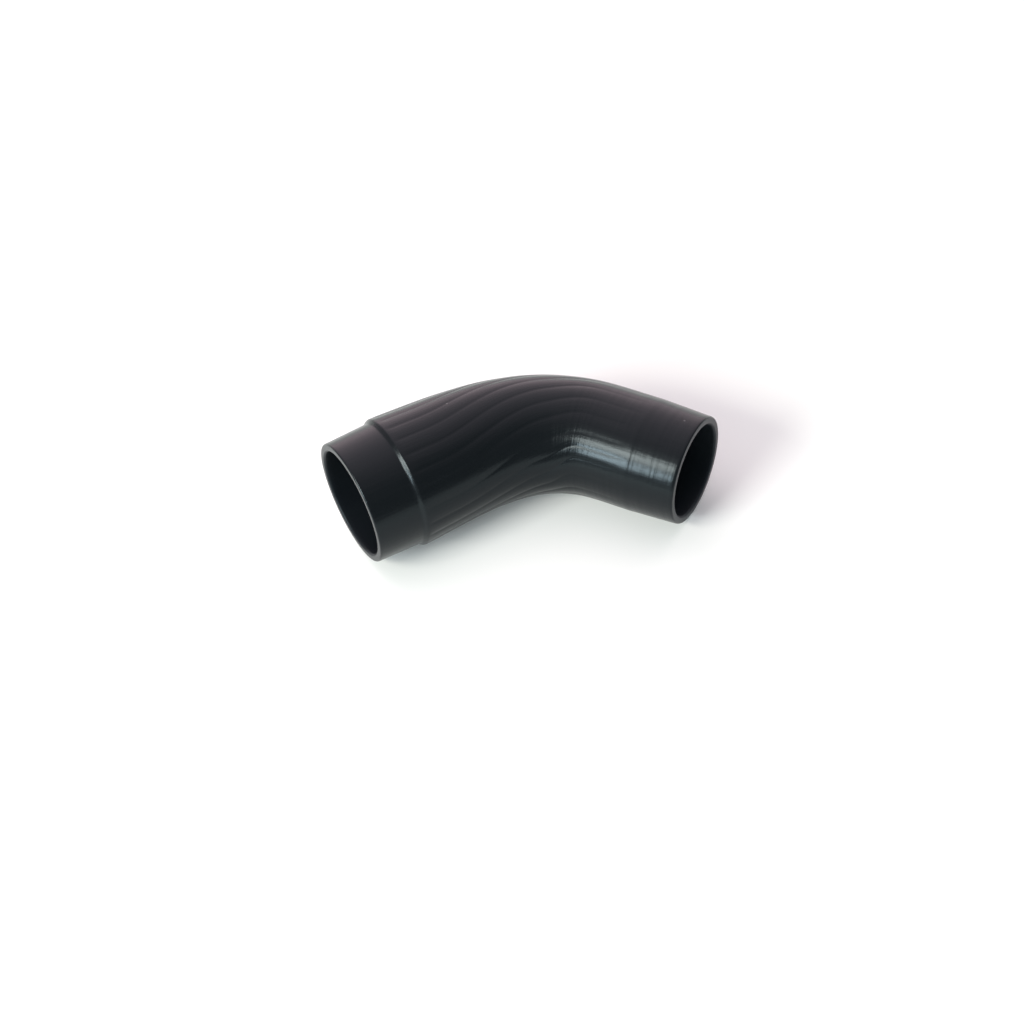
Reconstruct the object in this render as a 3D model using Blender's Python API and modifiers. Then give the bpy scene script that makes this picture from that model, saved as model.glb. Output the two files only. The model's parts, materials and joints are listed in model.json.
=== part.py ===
"""Intercooler hose: a reducing rubber elbow moulded in one piece.

The large cuff is at the left and the small one at the right, each stepped down
from the body so that a clamp band seats on it. Between them the wall tapers and
bends with an eased curvature, slow out of the large cuff and quick into the small.
Metres, +Z up, lying as it comes to rest on the floor.
"""
import bpy
import bmesh
import numpy as np
from math import ceil, radians
from mathutils import Matrix, Vector

# Bores, each the outside diameter of the pipe that it fits
large_bore = 0.060
small_bore = 0.051

# Wall, as thickness added outside the bore
lip_wall = 0.0045
large_cuff_flare = 0.0008
small_cuff_flare = 0.0005
large_shoulder_height = 0.0018
small_shoulder_height = 0.0009
outer_lip_round = 0.0010
inner_lip_round = 0.0007

# Stretches of the centreline, from the large mouth to the small one
large_cuff_length = 0.0255
large_shoulder_length = 0.0022
bend_entry_length = 0.0920
tight_bend_length = 0.0190
bend_exit_length = 0.0270
small_leg_length = 0.0120
small_shoulder_length = 0.0025
small_cuff_length = 0.0238

bend_angle = radians(60)

# How finely the surface is cut into facets
facets_around = 60
ring_spacing = 0.0055
rings_on_shoulder = 5
rings_on_lip_round = 3
guide_spacing = 0.0005

# How closely the floor's slope under the hose is found
slope_tolerance = 0.000001

rubber_colour = (0.018, 0.019, 0.021, 1.0)
rubber_roughness = 0.45

# Stations along the centreline where one stretch gives way to the next
large_foot = large_cuff_length
large_crest = large_foot + large_shoulder_length
bend_full = large_crest + bend_entry_length
bend_release = bend_full + tight_bend_length
bend_end = bend_release + bend_exit_length
small_crest = bend_end + small_leg_length
small_foot = small_crest + small_shoulder_length
hose_length = small_foot + small_cuff_length


def ease(x):
    """Smooth step from 0 to 1, level at both ends."""
    x = np.clip(x, 0.0, 1.0)
    return x * x * (3.0 - 2.0 * x)


def taper(station):
    """Share of the taper that is behind a station: steady, then level before the small leg."""
    t = np.clip((station - large_crest) / (bend_end - large_crest), 0.0, 1.0)
    return 1.2 * t - 0.2 * t ** 6


def bore_radius(station):
    return (large_bore + (small_bore - large_bore) * taper(station)) / 2


def outer_radius(station):
    large_lip = large_bore / 2 + lip_wall
    small_lip = small_bore / 2 + lip_wall
    large_cuff = large_lip + large_cuff_flare * min(station / large_foot, 1.0)
    small_cuff = small_lip + small_cuff_flare * min((hose_length - station) / small_cuff_length, 1.0)
    large_body = large_lip + large_cuff_flare + large_shoulder_height
    small_body = small_lip + small_cuff_flare + small_shoulder_height
    body = large_body + (small_body - large_body) * taper(station)
    if station < bend_full:
        return large_cuff + (body - large_cuff) * ease((station - large_foot) / large_shoulder_length)
    return small_cuff + (body - small_cuff) * ease((small_foot - station) / small_shoulder_length)


def steps(start, end, count):
    """Evenly spaced stations from start up to, but not including, end."""
    return list(np.linspace(start, end, count, endpoint=False))


def spaced_steps(start, end):
    return steps(start, end, ceil((end - start) / ring_spacing))


def rounded_corner(corner, before, after, rounding):
    """Quarter-round between two sides that meet square at a corner, as profile points."""
    centre = corner + (before + after) * rounding
    turns = np.linspace(0.0, np.pi / 2, rings_on_lip_round + 1)
    return [centre - after * rounding * np.cos(a) - before * rounding * np.sin(a) for a in turns]


def wall_profile():
    """Closed section of the wall, as (radius, station) points.

    It runs down the outside from the small mouth to the large one, and back up the bore.
    """
    along, outward = np.array([0.0, 1.0]), np.array([1.0, 0.0])
    outer_start, outer_end = outer_lip_round, hose_length - outer_lip_round
    inner_start, inner_end = inner_lip_round, hose_length - inner_lip_round

    outer_stations = (
        spaced_steps(outer_start, large_foot)[1:]
        + steps(large_foot, large_crest, rings_on_shoulder)
        + spaced_steps(large_crest, small_crest)
        + steps(small_crest, small_foot, rings_on_shoulder)
        + spaced_steps(small_foot, outer_end)
    )
    inner_stations = (
        spaced_steps(inner_start, large_crest)[1:]
        + spaced_steps(large_crest, bend_end)
        + spaced_steps(bend_end, inner_end)
    )

    small_outer_corner = np.array([outer_radius(hose_length), hose_length])
    large_outer_corner = np.array([outer_radius(0.0), 0.0])
    large_inner_corner = np.array([bore_radius(0.0), 0.0])
    small_inner_corner = np.array([bore_radius(hose_length), hose_length])

    profile = rounded_corner(small_outer_corner, -outward, -along, outer_lip_round)
    profile += [np.array([outer_radius(s), s]) for s in reversed(outer_stations)]
    profile += rounded_corner(large_outer_corner, along, -outward, outer_lip_round)
    profile += rounded_corner(large_inner_corner, outward, along, inner_lip_round)
    profile += [np.array([bore_radius(s), s]) for s in inner_stations]
    profile += rounded_corner(small_inner_corner, -along, outward, inner_lip_round)
    return profile


def centreline():
    """Points of the centreline, curving by its stretches and square to both mouths."""
    count = ceil(hose_length / guide_spacing) + 1
    station, step = np.linspace(0.0, hose_length, count, retstep=True)
    tightening = ease((station - large_crest) / bend_entry_length)
    loosening = ease((station - bend_release) / bend_exit_length)
    curvature = tightening * (1.0 - loosening)
    turned = np.concatenate([[0.0], np.cumsum((curvature[1:] + curvature[:-1]) / 2)])
    heading = bend_angle / 2 - bend_angle * turned / turned[-1]
    heading = (heading[1:] + heading[:-1]) / 2
    x = np.concatenate([[0.0], np.cumsum(np.cos(heading) * step)])
    y = np.concatenate([[0.0], np.cumsum(np.sin(heading) * step)])
    return list(zip(x, y))


def make_guide(name, collection, points):
    """Flat curve that bends the straight tube; it isn't part of the hose."""
    curve = bpy.data.curves.new(name, "CURVE")
    curve.dimensions = "2D"
    spline = curve.splines.new("POLY")
    spline.points.add(len(points) - 1)
    for point, (x, y) in zip(spline.points, points):
        point.co = (x, y, 0.0, 1.0)
    guide = bpy.data.objects.new(name, curve)
    guide.hide_render = True
    guide.display_type = "WIRE"
    collection.objects.link(guide)
    return guide


def make_hose(name, collection, guide):
    """Turned tube, bent along the guide."""
    mesh = bpy.data.meshes.new(name)
    shape = bmesh.new()
    corners = [shape.verts.new((radius, 0.0, station)) for radius, station in wall_profile()]
    for corner, following in zip(corners, corners[1:] + corners[:1]):
        shape.edges.new((corner, following))
    shape.to_mesh(mesh)
    shape.free()
    hose = bpy.data.objects.new(name, mesh)
    collection.objects.link(hose)

    turn = hose.modifiers.new("turn", "SCREW")
    turn.axis = "Z"
    turn.steps = facets_around
    turn.render_steps = facets_around
    turn.use_merge_vertices = True
    turn.merge_threshold = 0.00001
    turn.use_smooth_shade = True

    bend = hose.modifiers.new("bend", "CURVE")
    bend.object = guide
    bend.deform_axis = "POS_Z"
    return hose


def make_rubber():
    rubber = bpy.data.materials.new("rubber")
    rubber.use_nodes = True
    surface = rubber.node_tree.nodes["Principled BSDF"]
    surface.inputs["Base Color"].default_value = rubber_colour
    surface.inputs["Roughness"].default_value = rubber_roughness
    surface.inputs["Metallic"].default_value = 0.0
    return rubber


def evaluated_shape(thing):
    """The modified mesh of an object, in world space."""
    evaluated = thing.evaluated_get(bpy.context.evaluated_depsgraph_get())
    shape = bmesh.new()
    shape.from_mesh(evaluated.to_mesh())
    shape.transform(evaluated.matrix_world)
    evaluated.to_mesh_clear()
    return shape


def centre_of_mass(shape):
    """Mean of the tetrahedra between the origin and each facet, weighted by volume."""
    volume = 0.0
    moment = Vector()
    for a, b, c in shape.calc_loop_triangles():
        share = a.vert.co.dot(b.vert.co.cross(c.vert.co)) / 6
        volume += share
        moment += share * (a.vert.co + b.vert.co + c.vert.co) / 4
    return moment / volume


def summit(height, low, high):
    """Where a curve with a single summit is highest, found by narrowing its range by thirds."""
    while high - low > slope_tolerance:
        third = (high - low) / 3
        if height(low + third) < height(high - third):
            low += third
        else:
            high -= third
    return (low + high) / 2


def resting_plane(corners):
    """Slopes along X and Y of the plane that the corners rest on.

    Of all planes that pass under the corners, it is the one that is highest below
    the centre of mass, which is the corners' origin.
    """
    x, y, z = corners.T

    def floor(slope_x, slope_y):
        return (z - slope_x * x - slope_y * y).min()

    def best_slope_y(slope_x):
        return summit(lambda slope_y: floor(slope_x, slope_y), -1.0, 1.0)

    slope_x = summit(lambda slope: floor(slope, best_slope_y(slope)), -1.0, 1.0)
    return slope_x, best_slope_y(slope_x)


def lay_down(frame, thing):
    """Rolls the frame over until the thing in it rests on its own lowest points, at z = 0."""
    shape = evaluated_shape(thing)
    centre = centre_of_mass(shape)
    slope_x, slope_y = resting_plane(np.array([corner.co - centre for corner in shape.verts]))
    roll = Vector((-slope_x, -slope_y, 1.0)).rotation_difference(Vector((0.0, 0.0, 1.0)))
    laid = np.array([roll @ corner.co for corner in shape.verts])
    shape.free()
    low, high = laid.min(axis=0), laid.max(axis=0)
    place = Vector((-(low[0] + high[0]) / 2, -(low[1] + high[1]) / 2, -low[2]))
    frame.matrix_world = Matrix.Translation(place) @ roll.to_matrix().to_4x4()


def main():
    for thing in list(bpy.data.objects):
        bpy.data.objects.remove(thing)

    parts = bpy.data.collections.new("intercooler_hose")
    guides = bpy.data.collections.new("guides")
    for collection in (parts, guides):
        bpy.context.scene.collection.children.link(collection)

    frame = bpy.data.objects.new("resting_frame", None)
    parts.objects.link(frame)
    guide = make_guide("centreline", guides, centreline())
    hose = make_hose("hose", parts, guide)
    hose.data.materials.append(make_rubber())
    for thing in (guide, hose):
        thing.parent = frame
    lay_down(frame, hose)


main()
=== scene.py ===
import json
import math

import bmesh
import bpy
from mathutils import Matrix, Quaternion, Vector


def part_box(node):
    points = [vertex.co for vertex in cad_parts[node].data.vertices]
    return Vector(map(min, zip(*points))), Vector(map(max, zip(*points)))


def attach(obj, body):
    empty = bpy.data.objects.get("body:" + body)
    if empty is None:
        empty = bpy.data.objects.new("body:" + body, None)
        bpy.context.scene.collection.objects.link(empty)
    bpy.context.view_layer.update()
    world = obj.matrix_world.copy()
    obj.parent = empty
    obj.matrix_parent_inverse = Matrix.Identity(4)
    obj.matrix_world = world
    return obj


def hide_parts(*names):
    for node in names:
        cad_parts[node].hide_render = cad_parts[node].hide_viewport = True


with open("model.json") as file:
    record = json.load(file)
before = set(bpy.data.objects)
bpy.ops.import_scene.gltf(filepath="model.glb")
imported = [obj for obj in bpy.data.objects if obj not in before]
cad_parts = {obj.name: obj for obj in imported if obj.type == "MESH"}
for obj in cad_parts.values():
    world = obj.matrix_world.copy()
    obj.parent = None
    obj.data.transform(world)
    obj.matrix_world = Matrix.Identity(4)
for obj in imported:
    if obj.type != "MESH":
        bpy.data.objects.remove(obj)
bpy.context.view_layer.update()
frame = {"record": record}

print("frame loaded")

# the moulded hose

# metres; stations are counted along the centreline from the large mouth
hoseSize = {
    "largeBore": 0.060,
    "smallBore": 0.051,
    "lipWall": 0.0045,
    "largeFlare": 0.0008,
    "smallFlare": 0.0011,
    "largeShoulder": 0.0018,
    "smallShoulder": 0.0003,
    "largeFoot": 0.0249,
    "largeCrest": 0.0283,
    "bendStart": 0.0277,
    "bendFull": 0.1197,
    "bendRelease": 0.1387,
    "bendEnd": 0.1657,
    "smallCrest": 0.1756,
    "smallFoot": 0.1814,
    "length": 0.2040,
    "bendAngle": math.radians(60),
    "taperEase": 0.2,
    "taperPower": 6,
    "outerLipRound": 0.0010,
    "innerLipRound": 0.0014,
    "around": 288,
    "lipRoundSegments": 5,
    "guideSpacing": 0.0005,
    "weld": 0.000001,
    "sameCircle": 0.00001,
    "sameStation": 0.0001,
}

# how many times each stretch of the wall's section is cut
wallCuts = {
    "largeCuff": 16,
    "largeShoulder": 8,
    "body": 92,
    "smallShoulder": 8,
    "smallCuff": 15,
    "lip": 1,
    "bore": 60,
}

# radii of the plain tube that the wall is shaped from
plainTube = {"outside": 0.035, "bore": 0.025}

# the outside is laid in shallow lengthwise strips; the grooves between them are in degrees round the hose
strips = {
    "grooves": [
        0, 14, 28, 42, 57, 72, 87, 102, 117.5, 133, 148, 166.5,
        182, 197.5, 212.5, 227.5, 242.5, 257.5, 272, 287, 302, 317, 332, 346,
    ],
    "depth": 0.00025,
    "notch": 0.00006,
    "notchShare": 0.001,
    "start": 0.0275,
    "end": 0.1772,
    "runIn": 0.004,
    "runOut": 0.012,
    "fadeStart": 0.132,
    "fadeEnd": 0.156,
    "faded": 0.4,
    "drift": math.radians(33.5),
    "driftStart": 0.046,
    "driftEnd": 0.142,
    "driftLean": 0.25,
    "driftFacing": math.radians(43),
    "lateDrift": math.radians(5.6),
    "lateDriftMore": math.radians(10),
    "lateFacing": math.radians(200),
    "lateWidth": math.radians(22),
    "lateStart": 0.118,
    "lateEnd": 0.146,
}


def ease(share):
    share = min(max(share, 0.0), 1.0)
    return share * share * (3.0 - 2.0 * share)


def taper(station):
    share = (station - hoseSize["bendStart"]) / (hoseSize["bendEnd"] - hoseSize["bendStart"])
    share = min(max(share, 0.0), 1.0)
    return (1 + hoseSize["taperEase"]) * share - hoseSize["taperEase"] * share ** hoseSize["taperPower"]


def boreRadius(station):
    return (hoseSize["largeBore"] + (hoseSize["smallBore"] - hoseSize["largeBore"]) * taper(station)) / 2


def outsideRadius(station):
    largeLip = hoseSize["largeBore"] / 2 + hoseSize["lipWall"]
    smallLip = hoseSize["smallBore"] / 2 + hoseSize["lipWall"]
    largeCuff = largeLip + hoseSize["largeFlare"] * min(station / hoseSize["largeFoot"], 1.0)
    fromSmallMouth = (hoseSize["length"] - station) / (hoseSize["length"] - hoseSize["smallFoot"])
    smallCuff = smallLip + hoseSize["smallFlare"] * min(fromSmallMouth, 1.0)
    largeBody = largeLip + hoseSize["largeFlare"] + hoseSize["largeShoulder"]
    smallBody = smallLip + hoseSize["smallFlare"] + hoseSize["smallShoulder"]
    body = largeBody + (smallBody - largeBody) * taper(station)
    largeSlope = hoseSize["largeCrest"] - hoseSize["largeFoot"]
    smallSlope = hoseSize["smallFoot"] - hoseSize["smallCrest"]
    if station < hoseSize["bendFull"]:
        return largeCuff + (body - largeCuff) * ease((station - hoseSize["largeFoot"]) / largeSlope)
    return smallCuff + (body - smallCuff) * ease((hoseSize["smallFoot"] - station) / smallSlope)


def stripPlace(turn):
    # a plain angle gives the strip's place, from groove to groove, and how far across the strip it is
    each = 2 * math.pi / len(strips["grooves"])
    turn %= 2 * math.pi
    index = int(turn / each + 1e-6)
    share = turn / each - index
    grooves = strips["grooves"] + [360]
    index %= len(strips["grooves"])
    return math.radians(grooves[index] + share * (grooves[index + 1] - grooves[index])), share


def stripHeight(station, share):
    # each strip is gently crowned, its height counted from the mean, and begins at a fine notch
    rise = ease((station - strips["start"]) / strips["runIn"])
    fall = ease((strips["end"] - station) / strips["runOut"])
    height = strips["depth"] * (2 / 3 - (2 * share - 1) ** 2)
    if share < strips["notchShare"]:
        height -= strips["notch"]
    late = ease((station - strips["fadeStart"]) / (strips["fadeEnd"] - strips["fadeStart"]))
    return height * rise * fall * (1 - (1 - strips["faded"]) * late)


def stripDrift(station, angle):
    # the strips wander round the hose as it bends
    along = ease((station - strips["driftStart"]) / (strips["driftEnd"] - strips["driftStart"]))
    late = ease((station - strips["lateStart"]) / (strips["lateEnd"] - strips["lateStart"]))
    lean = 1 + strips["driftLean"] * math.cos(angle - strips["driftFacing"])
    away = math.remainder(angle - strips["lateFacing"], 2 * math.pi) / strips["lateWidth"]
    lateDrift = strips["lateDrift"] + strips["lateDriftMore"] * math.exp(-away ** 2)
    return -strips["drift"] * along * lean - lateDrift * late


def wallSection(shape):
    # the closed section of a plain tube: outside from the large mouth to the small, and back along the bore
    outside, bore = plainTube["outside"], plainTube["bore"]
    marks = [
        (outside, 0.0, wallCuts["largeCuff"]),
        (outside, hoseSize["largeFoot"], wallCuts["largeShoulder"]),
        (outside, hoseSize["largeCrest"], wallCuts["body"]),
        (outside, hoseSize["smallCrest"], wallCuts["smallShoulder"]),
        (outside, hoseSize["smallFoot"], wallCuts["smallCuff"]),
        (outside, hoseSize["length"], wallCuts["lip"]),
        (bore, hoseSize["length"], wallCuts["bore"]),
        (bore, 0.0, wallCuts["lip"]),
    ]
    corners = [shape.verts.new((radius, 0.0, station)) for radius, station, cuts in marks]
    sides = [shape.edges.new((a, b)) for a, b in zip(corners, corners[1:] + corners[:1])]
    for side, (radius, station, cuts) in zip(sides, marks):
        bmesh.ops.subdivide_edges(shape, edges=[side], cuts=cuts)


def shapeWall(shape):
    # each point of the plain tube goes to its place in the wall, and the outside takes the strips
    plainWall = plainTube["outside"] - plainTube["bore"]
    for vert in shape.verts:
        radius = math.hypot(vert.co.x, vert.co.y)
        station = vert.co.z
        wallShare = (radius - plainTube["bore"]) / plainWall
        angle, stripShare = stripPlace(math.atan2(vert.co.y, vert.co.x))
        inner, outer = boreRadius(station), outsideRadius(station)
        target = inner + (outer - inner) * wallShare
        if wallShare > 0.999:
            target += stripHeight(station, stripShare)
        vert.co.x = target * math.cos(angle)
        vert.co.y = target * math.sin(angle)


def driftWall(shape):
    # the coordinates before the drift stay on the points, so that patterns follow the strips and the bend
    unbent = shape.verts.layers.float_vector.new("unbent")
    for vert in shape.verts:
        vert[unbent] = vert.co
        turn = stripDrift(vert.co.z, math.atan2(vert.co.y, vert.co.x))
        vert.co.rotate(Quaternion((0, 0, 1), turn))


def lipEdges(shape, atOutside):
    # the circles where a lip's flat face meets the outside or the bore
    found = []
    for edge in shape.edges:
        stations = {round(vert.co.z, 6) for vert in edge.verts}
        if stations not in ({0.0}, {round(hoseSize["length"], 6)}):
            continue
        station = edge.verts[0].co.z
        wanted = outsideRadius(station) if atOutside else boreRadius(station)
        offsets = [abs(math.hypot(vert.co.x, vert.co.y) - wanted) for vert in edge.verts]
        if max(offsets) < hoseSize["sameCircle"]:
            found.append(edge)
    return found


def nameSurfaces(shape):
    # material 0 is the outside, 1 the lips' end faces, 2 the bore
    near, far = hoseSize["sameStation"], hoseSize["length"] - hoseSize["sameStation"]
    for face in shape.faces:
        middle = face.calc_center_median()
        if middle.z < near or middle.z > far:
            face.material_index = 1
        elif math.hypot(middle.x, middle.y) < boreRadius(middle.z) + hoseSize["innerLipRound"]:
            face.material_index = 2


def roundLips(shape):
    for atOutside, rounding in ((True, hoseSize["outerLipRound"]), (False, hoseSize["innerLipRound"])):
        bmesh.ops.bevel(
            shape,
            geom=lipEdges(shape, atOutside),
            offset=rounding,
            offset_type="OFFSET",
            affect="EDGES",
            segments=hoseSize["lipRoundSegments"],
            profile=0.5,
            material=-1,
        )


def guideCurve():
    # the centreline as a flat curve, tightening slowly out of the large cuff
    count = math.ceil(hoseSize["length"] / hoseSize["guideSpacing"]) + 1
    step = hoseSize["length"] / (count - 1)
    entering = hoseSize["bendFull"] - hoseSize["bendStart"]
    leaving = hoseSize["bendEnd"] - hoseSize["bendRelease"]
    turned = [0.0]
    previous = 0.0
    for index in range(1, count):
        station = index * step
        tightening = ease((station - hoseSize["bendStart"]) / entering)
        loosening = ease((station - hoseSize["bendRelease"]) / leaving)
        curvature = tightening * (1.0 - loosening)
        turned.append(turned[-1] + (curvature + previous) / 2)
        previous = curvature
    curve = bpy.data.curves.new("centreline", "CURVE")
    curve.dimensions = "2D"
    spline = curve.splines.new("POLY")
    spline.points.add(count - 1)
    x = y = 0.0
    spline.points[0].co = (x, y, 0.0, 1.0)
    for index in range(1, count):
        share = (turned[index] + turned[index - 1]) / 2 / turned[-1]
        heading = hoseSize["bendAngle"] * (0.5 - share)
        x += math.cos(heading) * step
        y += math.sin(heading) * step
        spline.points[index].co = (x, y, 0.0, 1.0)
    guide = bpy.data.objects.new("centreline", curve)
    bpy.context.scene.collection.objects.link(guide)
    return guide


def layInPlace(mesh):
    # the mouths' axes give the turn and the CAD node's box the place, with the lowest point on the floor
    axes = {mount["name"]: Vector(mount["axis"]) for mount in frame["record"]["mounts"]}
    large, small = axes["large_mouth_face"], axes["small_mouth_face"]
    along = (small - large).normalized()
    up = large.cross(small).normalized()
    if up.z < 0:
        up = -up
    across = up.cross(along)
    mesh.transform(Matrix((along, across, up)).transposed().to_4x4())
    low, high = (Vector(corner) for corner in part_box("hose"))
    xs, ys, zs = zip(*(vert.co for vert in mesh.vertices))
    middle = (low + high) / 2
    place = (middle.x - (min(xs) + max(xs)) / 2, middle.y - (min(ys) + max(ys)) / 2, -min(zs))
    mesh.transform(Matrix.Translation(place))


def makeHose():
    shape = bmesh.new()
    wallSection(shape)
    bmesh.ops.spin(
        shape,
        geom=shape.verts[:] + shape.edges[:],
        cent=(0, 0, 0),
        axis=(0, 0, 1),
        angle=math.radians(360),
        steps=hoseSize["around"],
        use_merge=True,
    )
    bmesh.ops.remove_doubles(shape, verts=shape.verts, dist=hoseSize["weld"])
    shapeWall(shape)
    roundLips(shape)
    nameSurfaces(shape)
    driftWall(shape)
    bmesh.ops.recalc_face_normals(shape, faces=shape.faces)
    for face in shape.faces:
        face.smooth = True
    straight = bpy.data.meshes.new("straightHose")
    shape.to_mesh(straight)
    shape.free()

    tube = bpy.data.objects.new("straightHose", straight)
    bpy.context.scene.collection.objects.link(tube)
    guide = guideCurve()
    bend = tube.modifiers.new("bend", "CURVE")
    bend.object = guide
    bend.deform_axis = "POS_Z"
    bpy.context.view_layer.update()
    bent = tube.evaluated_get(bpy.context.evaluated_depsgraph_get())
    mesh = bpy.data.meshes.new_from_object(bent)
    bpy.data.objects.remove(tube)
    bpy.data.objects.remove(guide)
    mesh.name = "mouldedHose"
    layInPlace(mesh)
    hose = bpy.data.objects.new("mouldedHose", mesh)
    bpy.context.scene.collection.objects.link(hose)
    print("hose made,", len(mesh.polygons), "faces")
    return hose


# the rubber: the outside, the lips' end faces and the bore

rubberLook = {
    "outside": {
        "colour": (0.0030, 0.0038, 0.0045),
        "bloomAndPaintedLight": (0.0056, 0.0064, 0.0071),
        "specular": 0.24,
        "specularTint": (0.77, 0.92, 1.0),
        "roughness": (0.20, 0.28),
        "flow": 0.000055,
        "hoops": 0.000200,
        "grain": 0.000004,
        "specks": 0.06,
        "paintedLightAlongBore": False,
    },
    "lip": {
        "colour": (0.0080, 0.0085, 0.0090),
        "bloomAndPaintedLight": (0.0150, 0.0160, 0.0170),
        "specular": 0.34,
        "specularTint": (0.77, 0.92, 1.0),
        "roughness": (0.32, 0.42),
        "flow": 0.0,
        "hoops": 0.0,
        "grain": 0.000010,
        "specks": 0.03,
        "paintedLightAlongBore": False,
    },
    # in the bore the second colour is painted light, reached at the small mouth
    "bore": {
        "colour": (0.0036, 0.0050, 0.0068),
        "bloomAndPaintedLight": (0.0110, 0.0140, 0.0170),
        "specular": 0.22,
        "specularTint": (0.77, 0.92, 1.0),
        "roughness": (0.42, 0.52),
        "flow": 0.000020,
        "hoops": 0.000020,
        "grain": 0.000008,
        "specks": 0.0,
        "paintedLightAlongBore": True,
    },
}

rubberPatterns = {
    "flowLines": {"scale": 700.0, "stretch": (1.0, 1.0, 0.03), "detail": 3.0},
    "hoopMarks": {
        "scale": 330.0, "stretch": (0.05, 0.05, 1.0), "detail": 2.0,
        "faint": 0.12, "fadeStart": 0.09, "fadeEnd": 0.14,
    },
    "rubberGrain": {"scale": 2600.0, "stretch": (1.0, 1.0, 1.0), "detail": 2.0},
    "dustSpecks": {"scale": 60.0, "size": 0.035},
    "noiseRoughness": 0.6,
}


def addNode(tree, kind, **settings):
    node = tree.nodes.new(kind)
    for name, value in settings.items():
        setattr(node, name, value)
    return node


def newGroup(name, inputs, output):
    group = bpy.data.node_groups.new(name, "ShaderNodeTree")
    vector = group.interface.new_socket("Vector", in_out="INPUT", socket_type="NodeSocketVector")
    vector.hide_value = True
    for socketName, value in inputs:
        socket = group.interface.new_socket(socketName, in_out="INPUT", socket_type="NodeSocketFloat")
        socket.default_value = value
    group.interface.new_socket(output, in_out="OUTPUT", socket_type="NodeSocketFloat")
    return group, addNode(group, "NodeGroupInput"), addNode(group, "NodeGroupOutput")


def stretchedNoise(group, given, pattern):
    # noise on the straight hose's coordinates, drawn out by the factors in stretch
    drawn = addNode(group, "ShaderNodeVectorMath", operation="MULTIPLY")
    drawn.inputs[1].default_value = pattern["stretch"]
    group.links.new(given.outputs["Vector"], drawn.inputs[0])
    noise = addNode(group, "ShaderNodeTexNoise")
    noise.inputs["Detail"].default_value = pattern["detail"]
    noise.inputs["Roughness"].default_value = rubberPatterns["noiseRoughness"]
    group.links.new(drawn.outputs["Vector"], noise.inputs["Vector"])
    group.links.new(given.outputs["Scale"], noise.inputs["Scale"])
    return noise


def flowLinesGroup():
    # fine streaks along the hose
    pattern = rubberPatterns["flowLines"]
    group, given, result = newGroup("flowLines", [("Scale", pattern["scale"])], "Lines")
    noise = stretchedNoise(group, given, pattern)
    group.links.new(noise.outputs["Fac"], result.inputs["Lines"])
    return group


def hoopMarksGroup():
    # fine marks round the hose, uneven in pitch and depth, faint at the large end and full from the bend on
    pattern = rubberPatterns["hoopMarks"]
    inputs = [("Scale", pattern["scale"]), ("Faint", pattern["faint"])]
    group, given, result = newGroup("hoopMarks", inputs, "Marks")
    noise = stretchedNoise(group, given, pattern)
    parts = addNode(group, "ShaderNodeSeparateXYZ")
    group.links.new(given.outputs["Vector"], parts.inputs["Vector"])
    share = addNode(group, "ShaderNodeMapRange", interpolation_type="SMOOTHSTEP")
    share.inputs["From Min"].default_value = pattern["fadeStart"]
    share.inputs["From Max"].default_value = pattern["fadeEnd"]
    group.links.new(parts.outputs["Z"], share.inputs["Value"])
    group.links.new(given.outputs["Faint"], share.inputs["To Min"])
    strength = addNode(group, "ShaderNodeMath", operation="MULTIPLY")
    group.links.new(noise.outputs["Fac"], strength.inputs[0])
    group.links.new(share.outputs["Result"], strength.inputs[1])
    group.links.new(strength.outputs["Value"], result.inputs["Marks"])
    return group


def rubberGrainGroup():
    # the rubber's own fine grain, the same each way
    pattern = rubberPatterns["rubberGrain"]
    group, given, result = newGroup("rubberGrain", [("Scale", pattern["scale"])], "Grain")
    noise = stretchedNoise(group, given, pattern)
    group.links.new(noise.outputs["Fac"], result.inputs["Grain"])
    return group


def dustSpecksGroup():
    # a few pale specks, far apart
    pattern = rubberPatterns["dustSpecks"]
    inputs = [("Scale", pattern["scale"]), ("Size", pattern["size"])]
    group, given, result = newGroup("dustSpecks", inputs, "Specks")
    cells = addNode(group, "ShaderNodeTexVoronoi")
    group.links.new(given.outputs["Vector"], cells.inputs["Vector"])
    group.links.new(given.outputs["Scale"], cells.inputs["Scale"])
    near = addNode(group, "ShaderNodeMath", operation="LESS_THAN")
    group.links.new(cells.outputs["Distance"], near.inputs[0])
    group.links.new(given.outputs["Size"], near.inputs[1])
    group.links.new(near.outputs["Value"], result.inputs["Specks"])
    return group


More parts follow.
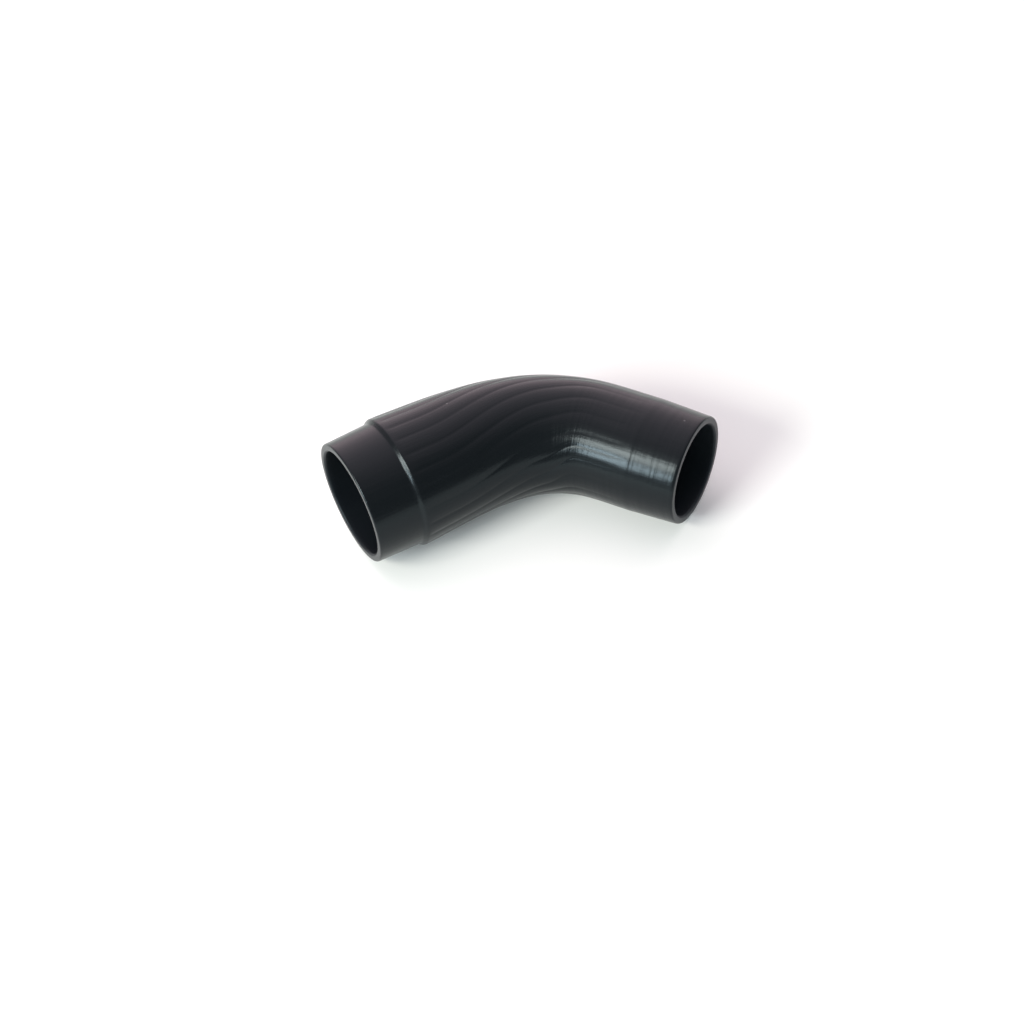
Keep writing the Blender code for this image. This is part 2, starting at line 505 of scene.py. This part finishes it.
def makeRubber(name, look, groups):
    rubber = bpy.data.materials.new(name)
    rubber.use_nodes = True
    tree = rubber.node_tree
    surface = tree.nodes["Principled BSDF"]
    surface.inputs["Specular IOR Level"].default_value = look["specular"]
    surface.inputs["Specular Tint"].default_value = (*look["specularTint"], 1)
    place = addNode(tree, "ShaderNodeAttribute", attribute_name="unbent")
    patterns = {}
    for pattern, group in groups.items():
        node = addNode(tree, "ShaderNodeGroup", node_tree=group)
        tree.links.new(place.outputs["Vector"], node.inputs["Vector"])
        patterns[pattern] = node.outputs[0]

    # the colour varies with the flow lines, and carries the specks; in the bore it grows lighter towards
    # the small mouth instead, which is painted light
    tint = addNode(tree, "ShaderNodeMix", data_type="RGBA")
    tint.inputs["A"].default_value = (*look["colour"], 1)
    tint.inputs["B"].default_value = (*look["bloomAndPaintedLight"], 1)
    if look["paintedLightAlongBore"]:
        # painted light: the bore's colour grows lighter along its length, towards the small mouth
        parts = addNode(tree, "ShaderNodeSeparateXYZ")
        tree.links.new(place.outputs["Vector"], parts.inputs["Vector"])
        along = addNode(tree, "ShaderNodeMapRange")
        along.inputs["From Max"].default_value = hoseSize["length"]
        tree.links.new(parts.outputs["Z"], along.inputs["Value"])
        tree.links.new(along.outputs["Result"], tint.inputs["Factor"])
    else:
        tree.links.new(patterns["flowLines"], tint.inputs["Factor"])
    dust = addNode(tree, "ShaderNodeMath", operation="MULTIPLY")
    dust.inputs[1].default_value = look["specks"]
    tree.links.new(patterns["dustSpecks"], dust.inputs[0])
    dusted = addNode(tree, "ShaderNodeMix", data_type="RGBA")
    dusted.inputs["B"].default_value = (1, 1, 1, 1)
    tree.links.new(dust.outputs["Value"], dusted.inputs["Factor"])
    tree.links.new(tint.outputs["Result"], dusted.inputs["A"])
    tree.links.new(dusted.outputs["Result"], surface.inputs["Base Color"])

    gloss = addNode(tree, "ShaderNodeMapRange")
    gloss.inputs["To Min"].default_value = look["roughness"][0]
    gloss.inputs["To Max"].default_value = look["roughness"][1]
    tree.links.new(patterns["flowLines"], gloss.inputs["Value"])
    tree.links.new(gloss.outputs["Result"], surface.inputs["Roughness"])

    # the reliefs are laid over each other, the finest last
    normal = None
    for pattern, depth in (("flowLines", "flow"), ("hoopMarks", "hoops"), ("rubberGrain", "grain")):
        if look[depth] == 0.0:
            continue
        relief = addNode(tree, "ShaderNodeBump")
        relief.inputs["Strength"].default_value = 1.0
        relief.inputs["Distance"].default_value = look[depth]
        tree.links.new(patterns[pattern], relief.inputs["Height"])
        if normal:
            tree.links.new(normal, relief.inputs["Normal"])
        normal = relief.outputs["Normal"]
    tree.links.new(normal, surface.inputs["Normal"])
    return rubber


# floor, light and camera

cameraView = {
    "azimuth": 6.278,
    "elevation": 47.634,
    "roll": -9.685,
    "distance": 0.81677,
    "aim": (-0.006919, -0.018109, 0.014265),
    "lens": 52.734,
    "sensorWidth": 36.0,
    "clipStart": 0.01,
    "clipEnd": 20.0,
}

studio = {
    "backdropSide": (-0.20, 0.93, 0.30),
    "dimColour": (0.24, 0.29, 0.32),
    "brightColour": (2.20, 1.79, 1.92),
    "sideShare": 0.30,
    # the floor's colour near the hose is a painted shade, darker than farther out
    "floorPaintedShade": (0.780, 0.805, 0.790),
    "floorFar": (0.83, 0.93, 0.88),
    "floorFront": (0.32, 0.34, 0.36),
    "floorLift": 0.12,
    "floorReach": 3.0,
    "floorRoughness": 0.9,
    "paintedShadeUpTo": 0.06,
    "farFrom": 0.30,
    "frontUpTo": -0.90,
    "frontEndsAt": -0.33,
    "dimUpTo": -0.50,
    "brightRise": 1.5,
    "sidesFrom": 0.48,
    "sidesFull": 0.78,
    "paneDistance": 1.2,
}

# the two panes of a window, which show as the highlight on the small leg
windowPanes = {
    "upperPane": {
        "azimuth": -130,
        "elevation": 40.6,
        "width": 0.50,
        "height": 0.26,
        "power": 9.6,
        "colour": (1.0, 0.96, 0.88),
    },
    "lowerPane": {
        "azimuth": -130,
        "elevation": 22.2,
        "width": 0.50,
        "height": 0.235,
        "power": 9.6,
        "colour": (0.90, 0.98, 1.0),
    },
}


def makeFloor():
    shape = bmesh.new()
    bmesh.ops.create_grid(shape, x_segments=1, y_segments=1, size=studio["floorReach"])
    mesh = bpy.data.meshes.new("floor")
    shape.to_mesh(mesh)
    shape.free()
    floor = bpy.data.objects.new("floor", mesh)
    bpy.context.scene.collection.objects.link(floor)
    pale = bpy.data.materials.new("paleFloor")
    pale.use_nodes = True
    tree = pale.node_tree
    surface = tree.nodes["Principled BSDF"]
    surface.inputs["Roughness"].default_value = studio["floorRoughness"]

    # painted shade: the floor's colour is darker round the hose and whitest away from it; it also falls off
    # in front, past what the camera sees
    place = addNode(tree, "ShaderNodeTexCoord")
    distance = addNode(tree, "ShaderNodeVectorMath", operation="LENGTH")
    tree.links.new(place.outputs["Object"], distance.inputs[0])
    away = addNode(tree, "ShaderNodeMapRange", interpolation_type="SMOOTHSTEP")
    away.inputs["From Min"].default_value = studio["paintedShadeUpTo"]
    away.inputs["From Max"].default_value = studio["farFrom"]
    tree.links.new(distance.outputs["Value"], away.inputs["Value"])
    paintedShadeTone = addNode(tree, "ShaderNodeMix", data_type="RGBA")
    paintedShadeTone.inputs["A"].default_value = (*studio["floorPaintedShade"], 1)
    paintedShadeTone.inputs["B"].default_value = (*studio["floorFar"], 1)
    tree.links.new(away.outputs["Result"], paintedShadeTone.inputs["Factor"])
    parts = addNode(tree, "ShaderNodeSeparateXYZ")
    tree.links.new(place.outputs["Object"], parts.inputs["Vector"])
    front = addNode(tree, "ShaderNodeMapRange", interpolation_type="SMOOTHSTEP")
    front.inputs["From Min"].default_value = studio["frontUpTo"]
    front.inputs["From Max"].default_value = studio["frontEndsAt"]
    tree.links.new(parts.outputs["Y"], front.inputs["Value"])
    faded = addNode(tree, "ShaderNodeMix", data_type="RGBA")
    faded.inputs["A"].default_value = (*studio["floorFront"], 1)
    tree.links.new(front.outputs["Result"], faded.inputs["Factor"])
    tree.links.new(paintedShadeTone.outputs["Result"], faded.inputs["B"])
    tree.links.new(faded.outputs["Result"], surface.inputs["Base Color"])

    # a little light of its own, for what is seen and mirrored, so that the floor comes out white
    tree.links.new(faded.outputs["Result"], surface.inputs["Emission Color"])
    path = addNode(tree, "ShaderNodeLightPath")
    seen = path.outputs["Is Camera Ray"]
    for ray in ("Is Glossy Ray", "Is Transmission Ray"):
        either = addNode(tree, "ShaderNodeMath", operation="MAXIMUM")
        tree.links.new(seen, either.inputs[0])
        tree.links.new(path.outputs[ray], either.inputs[1])
        seen = either.outputs["Value"]
    lift = addNode(tree, "ShaderNodeMath", operation="MULTIPLY")
    lift.inputs[1].default_value = studio["floorLift"]
    tree.links.new(seen, lift.inputs[0])
    tree.links.new(lift.outputs["Value"], surface.inputs["Emission Strength"])
    mesh.materials.append(pale)


def makeWorld():
    # a pale room: bright and slightly warm behind the hose, dim and cool in front, dimmer at both sides
    world = bpy.data.worlds.new("studio")
    world.use_nodes = True
    bpy.context.scene.world = world
    tree = world.node_tree
    sky = tree.nodes["Background"]
    direction = addNode(tree, "ShaderNodeTexCoord")
    facing = addNode(tree, "ShaderNodeVectorMath", operation="DOT_PRODUCT")
    facing.inputs[1].default_value = studio["backdropSide"]
    tree.links.new(direction.outputs["Generated"], facing.inputs[0])
    level = addNode(tree, "ShaderNodeMapRange")
    level.inputs["From Min"].default_value = studio["dimUpTo"]
    tree.links.new(facing.outputs["Value"], level.inputs["Value"])
    rising = addNode(tree, "ShaderNodeMath", operation="POWER")
    rising.inputs[1].default_value = studio["brightRise"]
    tree.links.new(level.outputs["Result"], rising.inputs[0])
    parts = addNode(tree, "ShaderNodeSeparateXYZ")
    tree.links.new(direction.outputs["Generated"], parts.inputs["Vector"])
    sideways = addNode(tree, "ShaderNodeMath", operation="ABSOLUTE")
    tree.links.new(parts.outputs["X"], sideways.inputs[0])
    sides = addNode(tree, "ShaderNodeMapRange", interpolation_type="SMOOTHSTEP")
    sides.inputs["From Min"].default_value = studio["sidesFrom"]
    sides.inputs["From Max"].default_value = studio["sidesFull"]
    sides.inputs["To Min"].default_value = 1.0
    sides.inputs["To Max"].default_value = studio["sideShare"]
    tree.links.new(sideways.outputs["Value"], sides.inputs["Value"])
    lit = addNode(tree, "ShaderNodeMath", operation="MULTIPLY")
    tree.links.new(rising.outputs["Value"], lit.inputs[0])
    tree.links.new(sides.outputs["Result"], lit.inputs[1])
    walls = addNode(tree, "ShaderNodeMix", data_type="RGBA")
    walls.inputs["A"].default_value = (*studio["dimColour"], 1)
    walls.inputs["B"].default_value = (*studio["brightColour"], 1)
    tree.links.new(lit.outputs["Value"], walls.inputs["Factor"])
    tree.links.new(walls.outputs["Result"], sky.inputs["Color"])


def towards(azimuth, elevation):
    # azimuth is clockwise from the backdrop, as seen from above, in degrees
    azimuth, elevation = math.radians(azimuth), math.radians(elevation)
    return Vector((
        math.sin(azimuth) * math.cos(elevation),
        math.cos(azimuth) * math.cos(elevation),
        math.sin(elevation),
    ))


def addPane(name, pane):
    lamp = bpy.data.lights.new(name, "AREA")
    lamp.shape = "RECTANGLE"
    lamp.size = pane["width"]
    lamp.size_y = pane["height"]
    lamp.energy = pane["power"]
    lamp.color = pane["colour"]
    holder = bpy.data.objects.new(name, lamp)
    outward = towards(pane["azimuth"], pane["elevation"])
    holder.location = outward * studio["paneDistance"]
    holder.rotation_mode = "QUATERNION"
    holder.rotation_quaternion = (-outward).to_track_quat("-Z", "Y")
    holder.visible_camera = False
    bpy.context.scene.collection.objects.link(holder)


def makeCamera():
    # the camera's azimuth is counted from the front
    back = towards(180 - cameraView["azimuth"], cameraView["elevation"])
    lens = bpy.data.cameras.new("camera")
    lens.lens = cameraView["lens"]
    lens.sensor_width = cameraView["sensorWidth"]
    lens.clip_start = cameraView["clipStart"]
    lens.clip_end = cameraView["clipEnd"]
    camera = bpy.data.objects.new("camera", lens)
    camera.location = Vector(cameraView["aim"]) + back * cameraView["distance"]
    camera.rotation_mode = "QUATERNION"
    tilt = Quaternion(back, math.radians(cameraView["roll"]))
    camera.rotation_quaternion = tilt @ (-back).to_track_quat("-Z", "Y")
    bpy.context.scene.collection.objects.link(camera)
    bpy.context.scene.camera = camera


hose = makeHose()
groups = {
    "flowLines": flowLinesGroup(),
    "hoopMarks": hoopMarksGroup(),
    "rubberGrain": rubberGrainGroup(),
    "dustSpecks": dustSpecksGroup(),
}
for name, look in rubberLook.items():
    hose.data.materials.append(makeRubber("rubber" + name.capitalize(), look, groups))
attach(hose, "root")
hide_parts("hose")
print("rubber laid on")

makeFloor()
makeWorld()
for name, pane in windowPanes.items():
    addPane(name, pane)
makeCamera()
bpy.context.scene.view_settings.view_transform = "Standard"

print("stage set")
